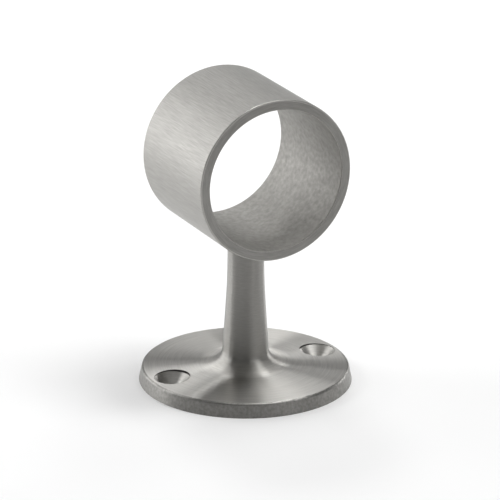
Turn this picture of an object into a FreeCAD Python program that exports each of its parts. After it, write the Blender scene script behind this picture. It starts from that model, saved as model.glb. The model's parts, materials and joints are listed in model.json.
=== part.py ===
"""Foot rail center bracket, cast in one piece.

A plain collar for the rail tube stands on a tapered stem, and the stem flares into a round flange
that two countersunk screws hold down.

Millimetres, +Z up. The origin is the centre of the flange's underside, and the rail runs along Y.
"""
import FreeCAD
import Part
import Sketcher
import enum
import math
import os

# Driving sizes: lengths in millimetres, angles in degrees
SIZES = {
    "rail_diameter": 50.8,
    "rail_clearance": 0.1,
    "collar_wall": 3.6,
    "collar_length": 46.0,
    "collar_axis_height": 81.3,
    "collar_edge_chamfer": 0.5,
    "bore_edge_chamfer": 0.4,
    "neck_diameter": 13.0,
    "neck_height": 38.3,
    "stem_taper": 3.7,
    "waist_radius": 250.0,
    "junction_radius": 2.0,
    "foot_radius": 4.5,
    "dish_radius": 20.0,
    "dish_diameter": 34.0,
    "flange_diameter": 76.0,
    "flange_slope": 3.3,
    "rim_height": 5.1,
    "rim_draft": 12.0,
    "rim_edge_radius": 1.0,
    "screw_count": 2,
    "screw_edge_distance": 9.0,
    "screw_hole_diameter": 6.0,
    "countersink_diameter": 12.8,
    "countersink_angle": 90.0,
    "countersink_drop": 0.9,
}

# Sizes that follow from the driving ones, as formulas over the sheet
BORE_RADIUS = "(Sizes.rail_diameter / 2 + Sizes.rail_clearance)"
COLLAR_RADIUS = f"({BORE_RADIUS} + Sizes.collar_wall)"
RIM_RADIUS = "Sizes.flange_diameter / 2"
# The flange's height where a countersink's mouth is highest, on the side towards the stem
MOUTH_HEIGHT = (
    "Sizes.rim_height + tan(Sizes.flange_slope) * (Sizes.screw_edge_distance"
    " + Sizes.countersink_diameter / 2 - Sizes.rim_height * tan(Sizes.rim_draft))"
)

# Slack when an edge is recognised by where it lies
MATCH_TOLERANCE = 0.001


class Spot(enum.IntEnum):
    """The points of a sketched line, arc or circle."""
    START = 1
    END = 2
    CENTRE = 3


class Axis(enum.IntEnum):
    """The two axes that every sketch has."""
    HORIZONTAL = -1
    VERTICAL = -2


START, END, CENTRE = Spot
ORIGIN = (Axis.HORIZONTAL, START)


def make_sheet(document):
    """The driving sizes, one named cell each."""
    sheet = document.addObject("Spreadsheet::Sheet", "Sizes")
    for row, (name, value) in enumerate(SIZES.items(), start=1):
        sheet.set(f"A{row}", name)
        sheet.set(f"B{row}", str(value))
        sheet.setAlias(f"B{row}", name)
    document.recompute()
    return sheet


def origin_feature(body, role):
    """One of the body's own origin planes or axes."""
    return next(item for item in body.Origin.OriginFeatures if item.Role == role)


def new_sketch(body, name, plane):
    """An empty sketch on one of the body's origin planes."""
    sketch = body.newObject("Sketcher::SketchObject", name)
    sketch.AttachmentSupport = [(origin_feature(body, plane), "")]
    sketch.MapMode = "FlatFace"
    return sketch


def drive(sketch, name, constraint, formula):
    """Add a dimension to the sketch and bind it to the sheet."""
    index = sketch.addConstraint(constraint)
    sketch.renameConstraint(index, name)
    sketch.setExpression(f"Constraints.{name}", formula)


def point(x, y):
    return FreeCAD.Vector(x, y, 0)


def circle_about(centre, radius):
    return Part.Circle(centre, FreeCAD.Vector(0, 0, 1), radius)


def arc(centre, radius, start, end):
    """An arc between two of its own points, counter-clockwise."""
    first = math.atan2(start.y - centre.y, start.x - centre.x)
    last = math.atan2(end.y - centre.y, end.x - centre.x)
    return Part.ArcOfCircle(circle_about(centre, radius), first, last)


def offset_corner(normal_a, point_a, normal_b, point_b, offset):
    """Where two straight lines cross after both have moved along their normals."""
    level_a = normal_a.dot(point_a) + offset
    level_b = normal_b.dot(point_b) + offset
    spread = normal_a.x * normal_b.y - normal_a.y * normal_b.x
    return point(
        (level_a * normal_b.y - level_b * normal_a.y) / spread,
        (normal_a.x * level_b - normal_b.x * level_a) / spread,
    )


def nested_centre(line_point, normal, radius, big_centre, big_radius):
    """Centre of an arc that touches a straight line and, from inside, a bigger arc below it."""
    start = line_point + normal * radius
    along = point(normal.y, -normal.x)
    offset = start - big_centre
    gap = big_radius - radius
    middle = offset.dot(along)
    return start + along * (math.sqrt(middle**2 - offset.dot(offset) + gap**2) - middle)


def turned_outline(size):
    """The half section of flange and stem: its lines and arcs in order, and its two sharp corners."""
    draft = math.radians(size.rim_draft)
    slope = math.radians(size.flange_slope)
    taper = math.radians(size.stem_taper)
    rim_normal = point(math.cos(draft), math.sin(draft))
    flange_normal = point(math.sin(slope), math.cos(slope))
    stem_normal = point(math.cos(taper), math.sin(taper))

    axis_foot = point(0, 0)
    axis_top = point(0, size.collar_axis_height)
    rim_foot = point(size.flange_diameter / 2, 0)
    rim_corner = rim_foot + point(-size.rim_height * math.tan(draft), size.rim_height)
    neck_corner = point(size.neck_diameter / 2, size.neck_height)
    neck_top = point(size.neck_diameter / 2, size.collar_axis_height)

    edge = offset_corner(rim_normal, rim_corner, flange_normal, rim_corner, -size.rim_edge_radius)
    rim_top = edge + rim_normal * size.rim_edge_radius
    slope_end = edge + flange_normal * size.rim_edge_radius

    dish_reach = size.dish_diameter / 2
    slope_start = point(dish_reach, rim_corner.y + (rim_corner.x - dish_reach) * math.tan(slope))
    dish = slope_start + flange_normal * size.dish_radius
    foot = nested_centre(neck_corner, stem_normal, size.foot_radius, dish, size.dish_radius)
    dish_start = dish + (foot - dish) * (size.dish_radius / (size.dish_radius - size.foot_radius))
    taper_start = foot - stem_normal * size.foot_radius

    waist_top = neck_corner + point(0, size.waist_radius * math.tan(taper / 2))
    waist = waist_top + point(size.waist_radius, 0)
    taper_end = waist - stem_normal * size.waist_radius

    outline = [
        Part.LineSegment(axis_foot, rim_foot),
        Part.LineSegment(rim_foot, rim_top),
        arc(edge, size.rim_edge_radius, rim_top, slope_end),
        Part.LineSegment(slope_start, slope_end),
        arc(dish, size.dish_radius, dish_start, slope_start),
        arc(foot, size.foot_radius, taper_start, dish_start),
        Part.LineSegment(taper_start, taper_end),
        arc(waist, size.waist_radius, waist_top, taper_end),
        Part.LineSegment(waist_top, neck_top),
        Part.LineSegment(neck_top, axis_top),
        Part.LineSegment(axis_top, axis_foot),
    ]
    return outline, rim_corner, neck_corner


def make_stem(body, sheet):
    """Flange, dish, foot, tapered stem and neck, turned in one profile about Z."""
    sketch = new_sketch(body, "StemProfile", "XZ_Plane")
    outline, rim_corner, neck_corner = turned_outline(sheet)
    underside, rim, edge, slope, dish, foot, taper, waist, neck, top, axis = sketch.addGeometry(outline)
    rim_mark = sketch.addGeometry(Part.Point(rim_corner), True)
    neck_mark = sketch.addGeometry(Part.Point(neck_corner), True)
    sketch.addConstraint([
        Sketcher.Constraint("Coincident", underside, START, *ORIGIN),
        Sketcher.Constraint("Horizontal", underside),
        Sketcher.Constraint("Coincident", underside, END, rim, START),
        Sketcher.Constraint("Tangent", rim, END, edge, START),
        Sketcher.Constraint("Tangent", edge, END, slope, END),
        Sketcher.Constraint("Tangent", slope, START, dish, END),
        Sketcher.Constraint("Tangent", dish, START, foot, END),
        Sketcher.Constraint("Tangent", foot, START, taper, START),
        Sketcher.Constraint("Tangent", taper, END, waist, END),
        Sketcher.Constraint("Tangent", waist, START, neck, START),
        Sketcher.Constraint("Vertical", neck),
        Sketcher.Constraint("Coincident", neck, END, top, START),
        Sketcher.Constraint("Horizontal", top),
        Sketcher.Constraint("PointOnObject", top, END, Axis.VERTICAL),
        Sketcher.Constraint("Coincident", top, END, axis, START),
        Sketcher.Constraint("Coincident", axis, END, *ORIGIN),
        Sketcher.Constraint("PointOnObject", rim_mark, START, rim),
        Sketcher.Constraint("PointOnObject", rim_mark, START, slope),
        Sketcher.Constraint("PointOnObject", neck_mark, START, taper),
        Sketcher.Constraint("PointOnObject", neck_mark, START, neck),
    ])
    lengths = {
        "RimRadius": ("DistanceX", (*ORIGIN, underside, END), RIM_RADIUS),
        "RimHeight": ("DistanceY", (*ORIGIN, rim_mark, START), "Sizes.rim_height"),
        "RimEdge": ("Radius", (edge,), "Sizes.rim_edge_radius"),
        "DishReach": ("DistanceX", (*ORIGIN, slope, START), "Sizes.dish_diameter / 2"),
        "DishRadius": ("Radius", (dish,), "Sizes.dish_radius"),
        "FootRadius": ("Radius", (foot,), "Sizes.foot_radius"),
        "WaistRadius": ("Radius", (waist,), "Sizes.waist_radius"),
        "NeckRadius": ("DistanceX", (*ORIGIN, neck, END), "Sizes.neck_diameter / 2"),
        "NeckHeight": ("DistanceY", (*ORIGIN, neck_mark, START), "Sizes.neck_height"),
        "StemHeight": ("DistanceY", (*ORIGIN, axis, START), "Sizes.collar_axis_height"),
    }
    angles = {
        "RimDraft": (rim, "90 + Sizes.rim_draft"),
        "FlangeSlope": (slope, "-Sizes.flange_slope"),
        "StemTaper": (taper, "90 + Sizes.stem_taper"),
    }
    for name, (kind, places, formula) in lengths.items():
        value = float(body.evalExpression(formula))
        drive(sketch, name, Sketcher.Constraint(kind, *places, value), formula)
    for name, (line, formula) in angles.items():
        value = math.radians(body.evalExpression(formula))
        drive(sketch, name, Sketcher.Constraint("Angle", line, value), formula)
    stem = body.newObject("PartDesign::Revolution", "Stem")
    stem.Profile = sketch
    stem.ReferenceAxis = (sketch, ["V_Axis"])
    stem.Angle = 360
    return stem


def placed_circle(sketch, axis, direction, distance, radius):
    """A circle on one of the sketch's axes, with its place and radius bound to the sheet."""
    distance_value = float(sketch.evalExpression(distance))
    radius_value = float(sketch.evalExpression(radius))
    centre = point(distance_value, 0) if axis == Axis.HORIZONTAL else point(0, distance_value)
    circle = sketch.addGeometry(circle_about(centre, radius_value))
    sketch.addConstraint(Sketcher.Constraint("PointOnObject", circle, CENTRE, axis))
    place = Sketcher.Constraint(direction, *ORIGIN, circle, CENTRE, distance_value)
    drive(sketch, "Place", place, distance)
    drive(sketch, "Radius", Sketcher.Constraint("Radius", circle, radius_value), radius)


def rail_section(body, name, radius):
    """A circle round the rail's axis, on the bracket's middle plane."""
    sketch = new_sketch(body, name, "XZ_Plane")
    placed_circle(sketch, Axis.VERTICAL, "DistanceY", "Sizes.collar_axis_height", radius)
    return sketch


def make_collar(body):
    """The collar's full drum, centred over the stem."""
    collar = body.newObject("PartDesign::Pad", "Collar")
    collar.Profile = rail_section(body, "CollarSection", COLLAR_RADIUS)
    collar.SideType = "Symmetric"
    collar.setExpression("Length", "Sizes.collar_length")
    return collar


def make_bore(body):
    """The through bore for the rail, which also clears the stem's top out of the drum."""
    bore = body.newObject("PartDesign::Pocket", "Bore")
    bore.Profile = rail_section(body, "BoreSection", BORE_RADIUS)
    bore.SideType = "Symmetric"
    bore.Type = "ThroughAll"
    return bore


def junction_edges(shape, axis_height, collar_radius, collar_length):
    """The seam where the stem's neck enters the collar from below."""
    names = []
    for number, edge in enumerate(shape.Edges, start=1):
        middle = edge.valueAt((edge.FirstParameter + edge.LastParameter) / 2)
        drop = axis_height - middle.z
        on_drum = abs(math.hypot(middle.x, drop) - collar_radius) < MATCH_TOLERANCE
        off_ends = abs(middle.y) < collar_length / 2 - MATCH_TOLERANCE
        if on_drum and off_ends and edge.Curve.TypeId != "Part::GeomLine":
            names.append(f"Edge{number}")
    return names


def rail_circles(shape, radius):
    """The circles of one radius that lie square to the rail."""
    names = []
    for number, edge in enumerate(shape.Edges, start=1):
        curve = edge.Curve
        if curve.TypeId != "Part::GeomCircle":
            continue
        square_to_rail = abs(abs(curve.Axis.y) - 1) < MATCH_TOLERANCE
        if square_to_rail and abs(curve.Radius - radius) < MATCH_TOLERANCE:
            names.append(f"Edge{number}")
    return names


def dress_edges(body, kind, name, edges, size_property, formula):
    """Round or chamfer edges of the body as it stands."""
    base = body.Tip
    feature = body.newObject(kind, name)
    feature.Base = (base, edges)
    feature.setExpression(size_property, formula)
    body.Document.recompute()
    return feature


def make_screw_holes(body):
    """Countersunk holes, each sunk by a short straight wall, spread evenly about Z from the +X side."""
    sketch = new_sketch(body, "ScrewPlace", "XY_Plane")
    sketch.setExpression(".AttachmentOffset.Base.z", MOUTH_HEIGHT)
    from_axis = f"{RIM_RADIUS} - Sizes.screw_edge_distance"
    placed_circle(sketch, Axis.HORIZONTAL, "DistanceX", from_axis, "Sizes.screw_hole_diameter / 2")
    body.Document.recompute()

    hole = body.newObject("PartDesign::Hole", "ScrewHole")
    hole.Profile = sketch
    hole.DepthType = "ThroughAll"
    hole.Threaded = False
    hole.HoleCutType = "Counterdrill"
    hole.HoleCutCustomValues = True
    hole.setExpression("Diameter", "Sizes.screw_hole_diameter")
    hole.setExpression("HoleCutDiameter", "Sizes.countersink_diameter")
    hole.setExpression("HoleCutDepth", "Sizes.countersink_drop")
    hole.setExpression("HoleCutCountersinkAngle", "Sizes.countersink_angle")
    body.Document.recompute()

    pattern = body.newObject("PartDesign::PolarPattern", "ScrewHoles")
    pattern.Originals = [hole]
    pattern.Axis = (origin_feature(body, "Z_Axis"), [""])
    pattern.Angle = 360
    pattern.setExpression("Occurrences", "Sizes.screw_count")
    body.Tip = pattern
    body.Document.recompute()


def make_bracket(document, sheet):
    """The whole casting as one body."""
    body = document.addObject("PartDesign::Body", "Bracket")
    body.Label = "bracket"
    bore_radius = float(body.evalExpression(BORE_RADIUS))
    collar_radius = float(body.evalExpression(COLLAR_RADIUS))

    make_stem(body, sheet)
    make_collar(body)
    document.recompute()
    seam = junction_edges(body.Shape, sheet.collar_axis_height, collar_radius, sheet.collar_length)
    dress_edges(body, "PartDesign::Fillet", "Junction", seam, "Radius", "Sizes.junction_radius")
    solid_volume = body.Shape.Volume
    make_bore(body)
    document.recompute()
    if body.Shape.Volume >= solid_volume:
        raise RuntimeError("the bore removed nothing")
    outer_rims = rail_circles(body.Shape, collar_radius)
    dress_edges(body, "PartDesign::Chamfer", "CollarEdges", outer_rims, "Size", "Sizes.collar_edge_chamfer")
    inner_rims = rail_circles(body.Shape, bore_radius)
    dress_edges(body, "PartDesign::Chamfer", "BoreEdges", inner_rims, "Size", "Sizes.bore_edge_chamfer")
    undrilled_volume = body.Shape.Volume
    make_screw_holes(body)
    if body.Shape.Volume >= undrilled_volume:
        raise RuntimeError("the screw holes removed nothing")
    return body


def check(document, bodies):
    """Stop if any step of the model failed or a solid is broken."""
    for item in document.Objects:
        if "Invalid" in item.State or "Error" in item.State:
            raise RuntimeError(f"{item.Name} failed: {item.State}")
    for body in bodies:
        if body.Shape.isNull() or not body.Shape.isValid() or len(body.Shape.Solids) != 1:
            raise RuntimeError(f"{body.Label} is not one sound solid")


def main():
    document = FreeCAD.newDocument("FootRailBracket")
    sheet = make_sheet(document)
    bodies = [make_bracket(document, sheet)]
    check(document, bodies)
    os.makedirs("parts", exist_ok=True)
    for body in bodies:
        body.Shape.exportStep(f"parts/{body.Label}.step")
        box = body.Shape.optimalBoundingBox(True, False)
        print(f"{body.Label}: {box.XLength:.2f} x {box.YLength:.2f} x {box.ZLength:.2f} mm")
        print(f"{body.Label}: {body.Shape.Volume / 1000:.2f} cm3")


main()
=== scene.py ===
"""Looks of the foot rail center bracket: satin stainless steel in a plain white studio.

Metres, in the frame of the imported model: +Z up, the rail along Y, the floor at zero.
"""
import bpy
import json
import math
from mathutils import Matrix, Vector


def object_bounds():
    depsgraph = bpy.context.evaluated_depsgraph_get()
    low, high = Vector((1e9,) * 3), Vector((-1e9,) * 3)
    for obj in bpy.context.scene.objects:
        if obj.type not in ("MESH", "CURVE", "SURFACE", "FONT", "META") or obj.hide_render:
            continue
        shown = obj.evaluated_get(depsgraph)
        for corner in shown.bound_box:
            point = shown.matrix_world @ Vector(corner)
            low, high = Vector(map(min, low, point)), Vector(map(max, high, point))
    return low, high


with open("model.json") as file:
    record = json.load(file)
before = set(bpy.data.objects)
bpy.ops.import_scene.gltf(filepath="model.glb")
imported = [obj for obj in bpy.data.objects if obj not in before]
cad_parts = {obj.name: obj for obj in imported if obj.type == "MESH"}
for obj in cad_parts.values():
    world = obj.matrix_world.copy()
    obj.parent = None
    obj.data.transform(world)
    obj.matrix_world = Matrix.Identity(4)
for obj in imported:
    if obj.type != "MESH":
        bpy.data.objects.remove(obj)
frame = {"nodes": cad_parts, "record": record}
cad_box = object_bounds()

MM = 0.001
UP = Vector((0, 0, 1))

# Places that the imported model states
MOUNTS = {mount["name"]: mount for mount in frame["record"]["mounts"]}
FOOT = Vector((0, 0, 0))
RAIL = Vector(MOUNTS["rail_bore"]["pos_m"])
RAIL_AXIS = Vector(MOUNTS["rail_bore"]["axis"])
BORE_RADIUS = MOUNTS["rail_bore"]["dims"]["r_mm"] * MM
BORE_HALF = MOUNTS["rail_bore"]["dims"]["length_mm"] * MM / 2
COLLAR_RADIUS = cad_box[1].z - RAIL.z
SCREW_X = MOUNTS["screw_holes"]["dims"]["spacing_x_mm"] * MM / 2

# Edges and mouths of the casting
COLLAR_EDGE = 0.5 * MM
BORE_EDGE = 0.4 * MM
COUNTERSINK_SIDES = {"left_countersink": -1, "right_countersink": 1}
COUNTERSINK_RADIUS = 6.4 * MM
RIM_HEIGHT = 5.1 * MM

# How a face is recognised: slack on where it lies, and how squarely it faces along the rail or upwards
SLACK = 0.05 * MM
END_FACING = 0.95
EDGE_FACING = 0.5
TOP_FACING = 0.95
RIM_FACING = 0.97
WALL_FACING = 0.1

# The photograph's camera: a long lens, a little above the collar, on the side of its open front end
IMAGE_WIDTH = 500
CAMERA_AZIMUTH = math.radians(-27.19)
CAMERA_ELEVATION = math.radians(20.175)
CAMERA_ROLL = math.radians(0.262)
CAMERA_DISTANCE = 1294.9 * MM
CAMERA_AIM_HEIGHT = 48.496 * MM
CAMERA_AIM_RIGHT = 1.4475 * MM
FOCAL_PIXELS = 3670.4
SENSOR_WIDTH = 36.0

# The steel: how much light it gives back, and how its grey turns warm
STEEL = 0.36
WARMTH = 0.05
RED_SHARE = 0.4

# Radii about the stem's axis: where the stem ends, the hollow at its foot, and where the flange begins
STEM_REACH = 8.5 * MM
FOOT_START = 9.5 * MM
FOOT_END = 13 * MM
FLANGE_REACH = 17 * MM

# Tone and dullness of the turned steel, with painted light that makes the flange lighter than the stem,
# and what the hollow at the foot adds to them: painted light that makes it lighter, and dullness
STEM_TONE = STEEL * 0.84
FLANGE_TONE_WITH_PAINTED_LIGHT = STEEL * 1.3
TURNED_ROUGHNESS = 0.33
FOOT_PAINTED_LIGHT = 0.7
FOOT_DULLING = 0.2

# Marks: the usual range of the noise, roughness as a share of tone, and a quarter turn across the lay
NOISE_LOW = 0.25
NOISE_HIGH = 0.75
ROUGHNESS_SHARE = -0.5
ACROSS_LAY = 0.25

# Softboxes: turn to the camera's right and elevation in degrees, width and height in metres, and radiance
SOFTBOX_DISTANCE = 1.2
SOFTBOXES = {
    "left_low_softbox": (-113, 6, 1.15, 0.32, 3.7),
    "left_high_softbox": (-98, 38, 0.62, 0.32, 4.0),
    "left_softbox": (-130, 27, 0.42, 0.3, 2.8),
    "left_rear_softbox": (-145, 45, 0.25, 0.22, 2.6),
    "rear_high_softbox": (-164, 55, 0.25, 0.22, 13.5),
    "rear_left_softbox": (-166, 27, 0.35, 0.25, 2.2),
    "rear_low_softbox": (178, 10, 0.4, 0.4, 0.7),
    "rear_right_softbox": (165, 36, 0.25, 0.25, 3.1),
    "right_rear_softbox": (146, 54, 0.25, 0.25, 4.8),
    "right_low_softbox": (138, 10, 0.42, 0.22, 6.2),
    "right_softbox": (98, 6, 0.62, 0.3, 0.7),
    "right_high_softbox": (85, 55, 0.3, 0.3, 6.2),
    "high_softbox": (98, 71, 0.3, 0.36, 11.0),
    "front_softbox": (47, 9, 0.35, 0.35, 0.5),
    "front_high_softbox": (40, 42, 0.45, 0.35, 1.4),
    "top_softbox": (0, 90, 0.6, 0.6, 3.0),
}

# The room and its floor
ROOM_LIGHT = 0.13
FLOOR_TONE = 0.9
FLOOR_LIFT = 0.03
FLOOR_ROUGHNESS = 0.8
FLOOR_SHINE = 0.1
FLOOR_RADIUS = 3.0
FLOOR_SIDES = 96
FLOOR_DROP = 0.02 * MM


def view_axes(azimuth, elevation):
    """The directions to the right, up and back towards a viewer at these angles."""
    back = Vector((
        math.sin(azimuth) * math.cos(elevation),
        -math.cos(azimuth) * math.cos(elevation),
        math.sin(elevation),
    ))
    right = Vector((math.cos(azimuth), math.sin(azimuth), 0))
    return right, back.cross(right), back


def add_camera():
    """The camera of the photograph."""
    right, up, back = view_axes(CAMERA_AZIMUTH, CAMERA_ELEVATION)
    aim = UP * CAMERA_AIM_HEIGHT + right * CAMERA_AIM_RIGHT
    data = bpy.data.cameras.new("camera")
    data.sensor_width = SENSOR_WIDTH
    data.lens = FOCAL_PIXELS * SENSOR_WIDTH / IMAGE_WIDTH
    camera = bpy.data.objects.new("camera", data)
    turn = Matrix((right, up, back)).transposed() @ Matrix.Rotation(CAMERA_ROLL, 3, "Z")
    camera.matrix_world = Matrix.Translation(aim + back * CAMERA_DISTANCE) @ turn.to_4x4()
    bpy.context.scene.collection.objects.link(camera)
    bpy.context.scene.camera = camera


class Shader:
    """A material's node tree, with short ways to add nodes to it."""

    def __init__(self, name):
        self.material = bpy.data.materials.new(name)
        self.material.use_nodes = True
        self.tree = self.material.node_tree
        self.tree.nodes.clear()

    def add(self, kind, inputs=(), **settings):
        """A node with its settings, and its inputs linked or set by name or number."""
        made = self.tree.nodes.new(kind)
        for key, value in settings.items():
            setattr(made, key, value)
        for key, value in dict(inputs).items():
            if isinstance(value, bpy.types.NodeSocket):
                self.tree.links.new(value, made.inputs[key])
            else:
                made.inputs[key].default_value = value
        return made

    def math(self, operation, *values):
        """The result of an operation on numbers."""
        return self.add("ShaderNodeMath", enumerate(values), operation=operation).outputs[0]

    def vector(self, operation, *values):
        """The result of an operation on vectors, as a number for a product or a length."""
        made = self.add("ShaderNodeVectorMath", enumerate(values), operation=operation)
        return made.outputs["Value" if operation in ("DOT_PRODUCT", "LENGTH") else "Vector"]

    def scaled(self, vector, factor):
        """A vector times a number."""
        inputs = {"Vector": vector, "Scale": factor}
        return self.add("ShaderNodeVectorMath", inputs, operation="SCALE").outputs["Vector"]

    def ramp(self, value, start, end, low, high):
        """A value that goes from low to high as another goes from start to end."""
        inputs = {"Value": value, "From Min": start, "From Max": end, "To Min": low, "To Max": high}
        return self.add("ShaderNodeMapRange", inputs).outputs["Result"]

    def principled(self, **inputs):
        """Close the tree with one surface; the names of its inputs come with spaces as underscores."""
        named = {key.replace("_", " "): value for key, value in inputs.items()}
        surface = self.add("ShaderNodeBsdfPrincipled", named).outputs[0]
        self.add("ShaderNodeOutputMaterial", {"Surface": surface})
        return self.material


def grey(level, warmth=0.0):
    """A grey with its red raised and its blue lowered by a little warmth."""
    return (level * (1 + warmth * RED_SHARE), level, level * (1 - warmth))


class Steel(Shader):
    """Steel that was worked about an axis, which gives it a lay and fine marks along that lay."""

    def __init__(self, name, point, axis):
        super().__init__(name)
        place = self.add("ShaderNodeTexCoord").outputs["Object"]
        offset = self.vector("SUBTRACT", place, point)
        sweep = self.vector("CROSS_PRODUCT", axis, offset)
        self.along = self.vector("NORMALIZE", axis)
        self.radius = self.vector("LENGTH", sweep)
        self.height = self.vector("DOT_PRODUCT", offset, axis)
        self.around = self.vector("NORMALIZE", sweep)
        self.outward = self.vector("CROSS_PRODUCT", self.around, axis)
        self.radius_mm = self.math("DIVIDE", self.radius, MM)
        self.height_mm = self.math("DIVIDE", self.height, MM)

    def marks(self, around=0.0, along=0.0, outward=0.0, detail=3.0):
        """Noise from -1 to 1 with its own fineness round the axis, along it and out from it."""
        ring = self.scaled(self.around, around)
        level = self.scaled(self.along, self.math("MULTIPLY", self.height_mm, along))
        inputs = {
            "Vector": self.vector("ADD", ring, level),
            "W": self.math("MULTIPLY", self.radius_mm, outward),
            "Scale": 1.0,
            "Detail": detail,
        }
        noise = self.add("ShaderNodeTexNoise", inputs, noise_dimensions="4D").outputs[0]
        return self.ramp(noise, NOISE_LOW, NOISE_HIGH, -1.0, 1.0)

    def by_radius(self, inner, outer):
        """A value that differs between the stem and the flange."""
        return self.ramp(self.radius, STEM_REACH, FLANGE_REACH, inner, outer)

    def foot(self):
        """One in the hollow between stem and flange, and zero away from it."""
        rise = self.ramp(self.radius, STEM_REACH, FOOT_START, 0.0, 1.0)
        fall = self.ramp(self.radius, FOOT_END, FLANGE_REACH, 1.0, 0.0)
        return self.math("MULTIPLY", rise, fall)

    def rounded(self, share, first, second):
        """A normal that turns from one side of an edge to the other."""
        near = self.scaled(first, self.math("SUBTRACT", 1.0, share))
        return self.vector("NORMALIZE", self.vector("ADD", near, self.scaled(second, share)))

    def endward(self):
        """The direction out of the nearer end of the collar."""
        return self.scaled(self.along, self.math("SIGN", self.height))

    def brushed(self, lay, strength):
        """Inputs of a surface whose highlights spread across the lay of its marks."""
        return {"Anisotropic": strength, "Anisotropic_Rotation": ACROSS_LAY, "Tangent": lay}

    def finish(self, level, marks, contrast, roughness, **more):
        """The surface: its tone swings with the marks by the contrast, and its roughness against it."""
        swing = self.math("MULTIPLY_ADD", marks, contrast, 1.0)
        counter = self.math("MULTIPLY", contrast, ROUGHNESS_SHARE)
        return self.principled(
            Base_Color=self.scaled(grey(1.0, WARMTH), self.math("MULTIPLY", swing, level)),
            Metallic=1.0,
            Roughness=self.math("MULTIPLY", self.math("MULTIPLY_ADD", marks, counter, 1.0), roughness),
            **more,
        )


def turned_finish():
    """Flange and stem, brushed round on the lathe, duller in the hollow between them, with painted light
    that makes the hollow and the flange lighter.
    """
    steel = Steel("turned_steel", FOOT, UP)
    foot = steel.foot()
    # Painted light: the hollow at the foot is made lighter than the rest of the turned steel by this
    # factor.
    foot_painted_light = steel.math("MULTIPLY_ADD", foot, FOOT_PAINTED_LIGHT, 1.0)
    return steel.finish(
        # Painted light: the same turned steel is made lighter on the flange than on the stem.
        level=steel.math("MULTIPLY", steel.by_radius(STEM_TONE, FLANGE_TONE_WITH_PAINTED_LIGHT), foot_painted_light),
        marks=steel.marks(around=3.0, along=3.0, outward=3.0),
        contrast=steel.by_radius(0.07, 0.14),
        roughness=steel.math("MULTIPLY_ADD", foot, FOOT_DULLING, TURNED_ROUGHNESS),
        **steel.brushed(steel.around, 1.0),
    )


def rim_finish():
    """The flange's rim, duller than its top."""
    steel = Steel("rim_steel", FOOT, UP)
    return steel.finish(
        level=STEEL * 0.74,
        marks=steel.marks(around=36.0, along=0.9),
        contrast=0.24,
        roughness=0.4,
        **steel.brushed(steel.around, 0.6),
    )


def collar_finish():
    """The collar's outside, brushed along the rail."""
    steel = Steel("collar_steel", RAIL, RAIL_AXIS)
    return steel.finish(
        level=STEEL * 0.88,
        marks=steel.marks(around=110.0, along=0.15),
        contrast=0.17,
        roughness=0.45,
        **steel.brushed(steel.along, 0.8),
    )


def collar_edge_finish():
    """The collar's outer edges, shaded as if rounded."""
    steel = Steel("collar_edge_steel", RAIL, RAIL_AXIS)
    start = BORE_HALF + BORE_EDGE - COLLAR_EDGE
    share = steel.ramp(steel.math("ABSOLUTE", steel.height), start, start + COLLAR_EDGE / 2, 0.0, 1.0)
    return steel.finish(
        level=STEEL,
        marks=steel.marks(around=60.0),
        contrast=0.1,
        roughness=0.35,
        Normal=steel.rounded(share, steel.outward, steel.endward()),
    )


def end_finish():
    """The collar's flat ends, faced on the lathe."""
    steel = Steel("end_steel", RAIL, RAIL_AXIS)
    return steel.finish(
        level=STEEL * 0.63,
        marks=steel.marks(around=6.0, outward=3.0),
        contrast=0.18,
        roughness=0.35,
        **steel.brushed(steel.around, 0.5),
    )


def bore_finish():
    """The bore, left dull and mottled."""
    steel = Steel("bore_steel", RAIL, RAIL_AXIS)
    return steel.finish(
        level=STEEL * 1.05,
        marks=steel.marks(around=16.0, along=0.6, detail=4.0),
        contrast=0.14,
        roughness=0.65,
    )


def bore_edge_finish():
    """The bore's edges, shaded as if rounded, and painted lighter than the bore."""
    steel = Steel("bore_edge_steel", RAIL, RAIL_AXIS)
    share = steel.ramp(steel.radius, BORE_RADIUS, BORE_RADIUS + BORE_EDGE / 2, 0.0, 1.0)
    inward = steel.scaled(steel.outward, -1.0)
    return steel.finish(
        # Painted light: the edge's tone is raised above the bore's, over the shade that the chamfer
        # catches.
        level=STEEL * 1.2,
        marks=steel.marks(around=60.0),
        contrast=0.1,
        roughness=0.7,
        Normal=steel.rounded(share, inward, steel.endward()),
    )


def countersink_finish(name):
    """The cone of one screw hole."""
    steel = Steel(f"{name}_steel", Vector((SCREW_X * COUNTERSINK_SIDES[name], 0, 0)), UP)
    return steel.finish(
        level=STEEL * 1.1,
        marks=steel.marks(around=1.0, along=4.0, outward=4.0),
        contrast=0.15,
        roughness=0.42,
    )


def drilled_painted_shade_finish():
    """The straight walls of the screw holes, ringed, and darkened by painted shade."""
    steel = Steel("drilled_painted_shade_steel", FOOT, UP)
    # Painted shade: the walls' tone is set far below the rest of the steel.
    return steel.finish(level=STEEL * 0.35, marks=steel.marks(along=4.0), contrast=0.2, roughness=0.5)


FINISHES = {
    "turned": turned_finish,
    "rim": rim_finish,
    "collar": collar_finish,
    "collar_edge": collar_edge_finish,
    "end": end_finish,
    "bore": bore_finish,
    "bore_edge": bore_edge_finish,
    "left_countersink": lambda: countersink_finish("left_countersink"),
    "right_countersink": lambda: countersink_finish("right_countersink"),
    "drilled_painted_shade": drilled_painted_shade_finish,
}


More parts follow.
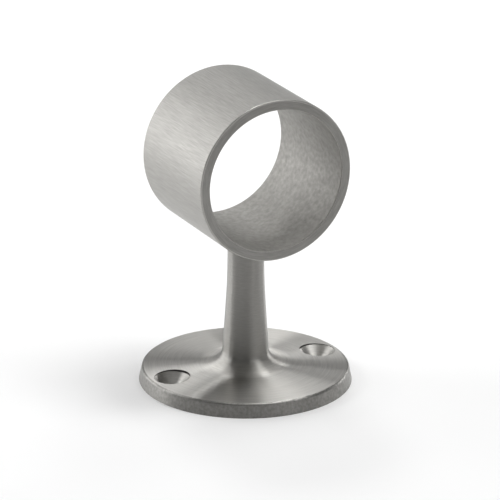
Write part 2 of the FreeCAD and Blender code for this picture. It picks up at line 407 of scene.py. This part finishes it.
def finish_of(centre, normal):
    """Which finish a face of the bracket has, from where it lies and which way it faces."""
    from_rail = math.hypot(centre.x, centre.z - RAIL.z)
    if from_rail < COLLAR_RADIUS + SLACK:
        if abs(normal.y) > END_FACING:
            return "end"
        if from_rail < BORE_RADIUS + SLACK:
            return "bore"
        if abs(normal.y) > EDGE_FACING:
            return "bore_edge" if from_rail < BORE_RADIUS + BORE_EDGE else "collar_edge"
        return "collar"
    for name, side in COUNTERSINK_SIDES.items():
        from_screw = math.hypot(centre.x - SCREW_X * side, centre.y)
        if from_screw < COUNTERSINK_RADIUS + SLACK and abs(normal.z) < TOP_FACING:
            return "drilled_painted_shade" if abs(normal.z) < WALL_FACING else name
    return "rim" if centre.z < RIM_HEIGHT and abs(normal.z) < RIM_FACING else "turned"


def dress(bracket):
    """Give each face of the casting its finish."""
    names = list(FINISHES)
    bracket.data.materials.clear()
    for name in names:
        bracket.data.materials.append(FINISHES[name]())
    for polygon in bracket.data.polygons:
        polygon.material_index = names.index(finish_of(polygon.center, polygon.normal))


def add_floor():
    """A wide pale floor, lifted a little towards white when seen directly, in metal or through glass."""
    bpy.ops.mesh.primitive_circle_add(
        vertices=FLOOR_SIDES,
        radius=FLOOR_RADIUS,
        fill_type="NGON",
        location=(0, 0, -FLOOR_DROP),
    )
    floor = bpy.context.object
    floor.name = "floor"
    shader = Shader("floor_white")
    rays = shader.add("ShaderNodeLightPath").outputs
    seen = shader.math("MAXIMUM", rays["Is Camera Ray"], rays["Is Glossy Ray"])
    seen = shader.math("MAXIMUM", seen, rays["Is Transmission Ray"])
    floor.data.materials.append(shader.principled(
        Base_Color=(*grey(FLOOR_TONE), 1.0),
        Roughness=FLOOR_ROUGHNESS,
        Specular_IOR_Level=FLOOR_SHINE,
        Emission_Color=(*grey(1.0), 1.0),
        Emission_Strength=shader.math("MULTIPLY", seen, FLOOR_LIFT),
    ))


def add_softbox(name, turn, elevation, width, height, radiance):
    """A soft panel that looks at the bracket and stays out of the picture."""
    data = bpy.data.lights.new(name, "AREA")
    data.shape = "RECTANGLE"
    data.size = width
    data.size_y = height
    data.energy = radiance * math.pi * width * height
    lamp = bpy.data.objects.new(name, data)
    axes = view_axes(CAMERA_AZIMUTH + math.radians(turn), math.radians(elevation))
    aim = (cad_box[0] + cad_box[1]) / 2
    turned = Matrix(axes).transposed().to_4x4()
    lamp.matrix_world = Matrix.Translation(aim + axes[2] * SOFTBOX_DISTANCE) @ turned
    lamp.visible_camera = False
    bpy.context.scene.collection.objects.link(lamp)


def add_room_light():
    """The faint light of the room round the softboxes."""
    world = bpy.data.worlds.new("room")
    world.use_nodes = True
    background = world.node_tree.nodes["Background"]
    background.inputs["Color"].default_value = (*grey(1.0), 1.0)
    background.inputs["Strength"].default_value = ROOM_LIGHT
    bpy.context.scene.world = world


dress(frame["nodes"]["bracket"])
add_floor()
add_room_light()
for softbox, place in SOFTBOXES.items():
    add_softbox(softbox, *place)
add_camera()
bpy.context.scene.view_settings.view_transform = "Standard"
